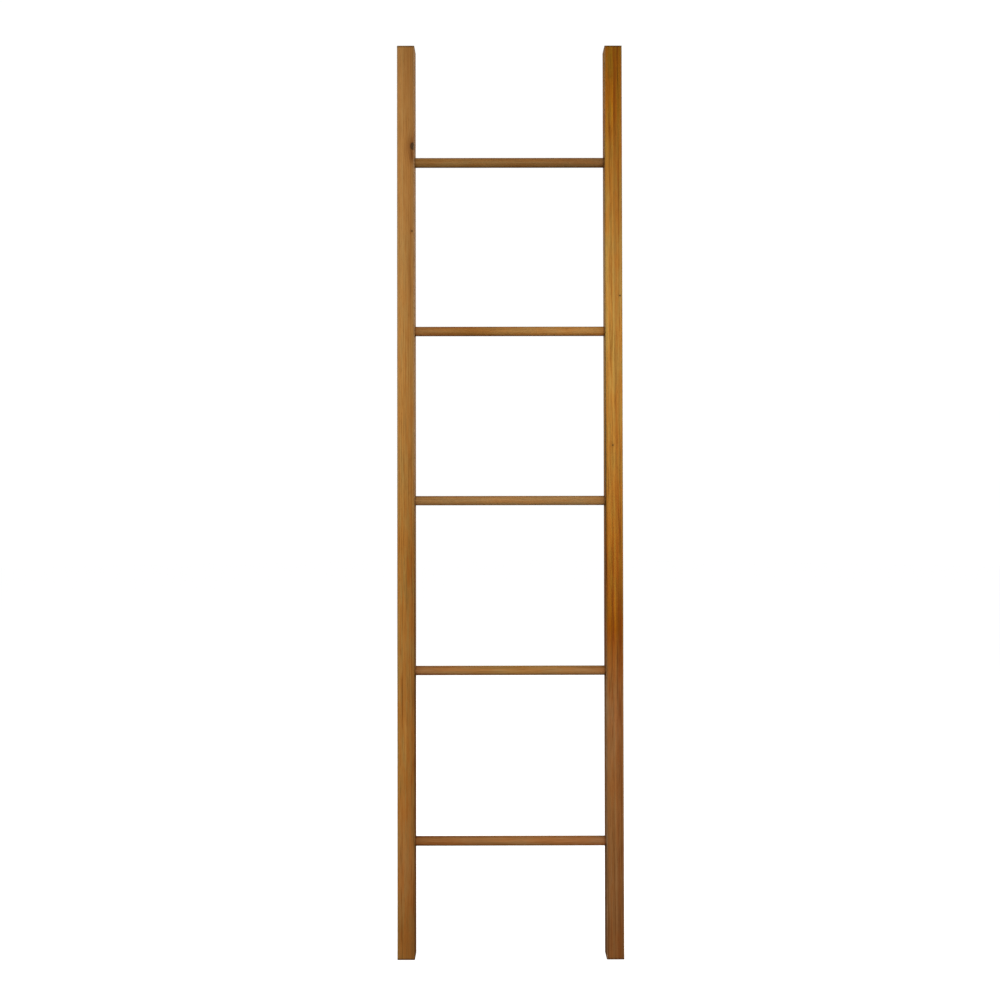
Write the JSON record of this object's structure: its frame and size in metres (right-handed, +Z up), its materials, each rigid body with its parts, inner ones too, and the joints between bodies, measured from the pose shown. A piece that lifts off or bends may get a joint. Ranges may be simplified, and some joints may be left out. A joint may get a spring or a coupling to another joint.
{
  "type": "ladder frame",
  "caption": "Straight leaning ladder of square wooden stiles and round rungs, held by plugged screws; a rack to hang or drape things on, or a frame to toss bolas over.",
  "frame": {"origin": "on the floor, midway between the two feet and midway between front and back", "axes": "+X to the viewer's right along the rungs, +Y to the back, +Z up along the stiles"},
  "size_m": [0.452, 0.035, 1.8288],
  "materials": {
    "stile_wood": "oiled golden-brown teak, straight grain, low sheen",
    "rung_wood": "oiled brown teak dowel, fine grain along its length, low sheen",
    "plug_wood": "end-grain teak plug, sanded flush and oiled",
    "screw_steel": "zinc-plated steel"
  },
  "bodies": {
    "root": {"left_stile": "stile_wood", "right_stile": "stile_wood", "rung_1": "rung_wood", "rung_2": "rung_wood", "rung_3": "rung_wood", "rung_4": "rung_wood", "rung_5": "rung_wood", "screw_left_1": "screw_steel", "plug_left_1": "plug_wood", "screw_left_2": "screw_steel", "plug_left_2": "plug_wood", "screw_left_3": "screw_steel", "plug_left_3": "plug_wood", "screw_left_4": "screw_steel", "plug_left_4": "plug_wood", "screw_left_5": "screw_steel", "plug_left_5": "plug_wood", "screw_right_1": "screw_steel", "plug_right_1": "plug_wood", "screw_right_2": "screw_steel", "plug_right_2": "plug_wood", "screw_right_3": "screw_steel", "plug_right_3": "plug_wood", "screw_right_4": "screw_steel", "plug_right_4": "plug_wood", "screw_right_5": "screw_steel", "plug_right_5": "plug_wood"}
  },
  "joints": []
}
